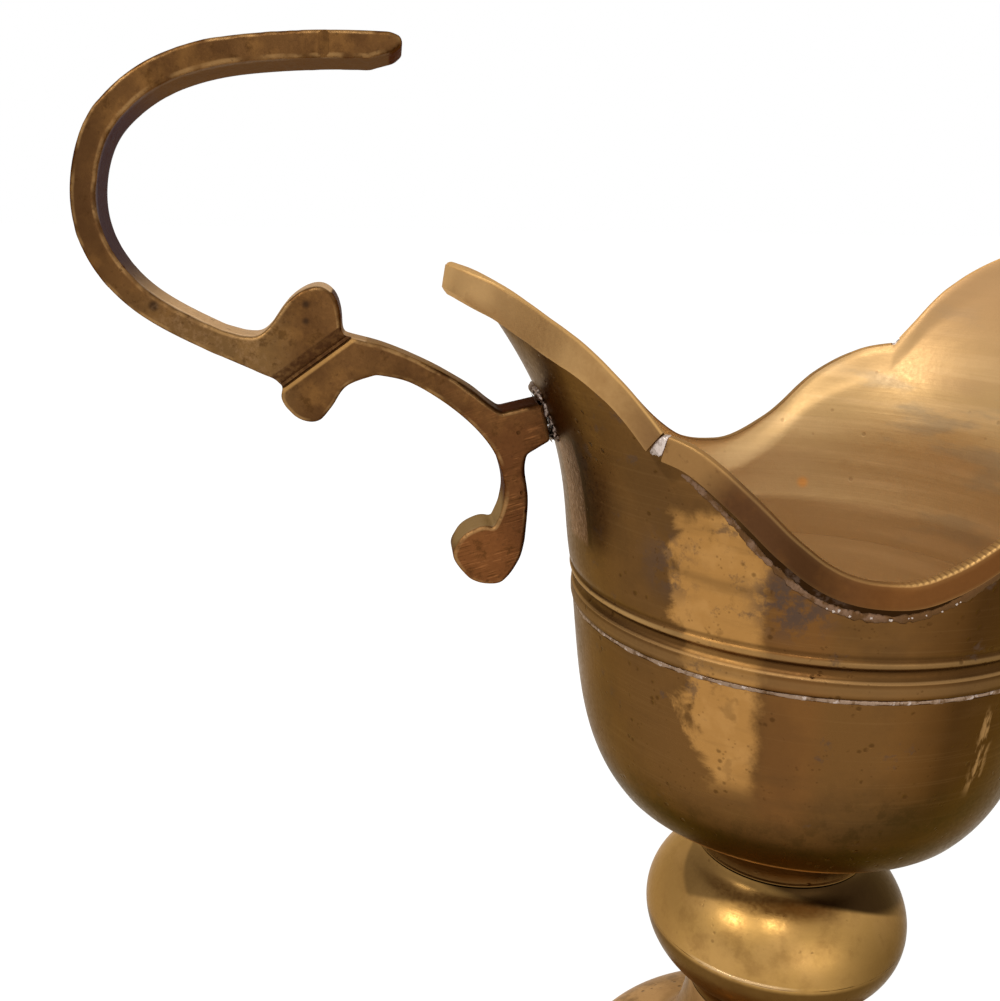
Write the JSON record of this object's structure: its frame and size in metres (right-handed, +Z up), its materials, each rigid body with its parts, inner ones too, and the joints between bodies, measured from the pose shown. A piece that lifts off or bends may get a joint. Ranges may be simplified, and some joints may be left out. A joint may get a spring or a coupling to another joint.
{
  "type": "pedestal pitcher",
  "caption": "Brass ewer on a pedestal foot with a rounded knop, a deep bowl, a flared mouth cut into waves, a raised spout and a flat hooked handle at the back.",
  "frame": {"origin": "on the resting plane, under the middle of the object's bounding box", "axes": "+Z up along the turned axis, +X from the handle towards the spout, +Y to the left of someone who looks from the handle to the spout"},
  "size_m": [0.2498, 0.1196, 0.2757],
  "materials": {
    "body": "aged, brown patches over worn satin brass",
    "foot": "aged satin",
    "knop": "smooth, worn bright",
    "rim": "satin with filed edges",
    "handle": "rough cast, filed in places",
    "solder": "dull, silvery and lumpy"
  },
  "bodies": {
    "root": {"foot": "foot", "knop_lower": "knop", "knop_upper": "knop", "knop_seam_solder": "solder", "lower_bowl": "body", "body_seam_solder": "solder", "upper_body": "body", "rim_band_rear": "rim", "rim_band_far": "rim", "rim_band_near": "rim", "rim_band_spout": "rim", "joint_solder_rear_far": "solder", "joint_solder_rear_near": "solder", "joint_solder_spout_far": "solder", "joint_solder_spout_near": "solder", "rim_fillet_far": "solder", "rim_fillet_near": "solder", "handle": "handle", "handle_solder": "solder"}
  },
  "joints": []
}
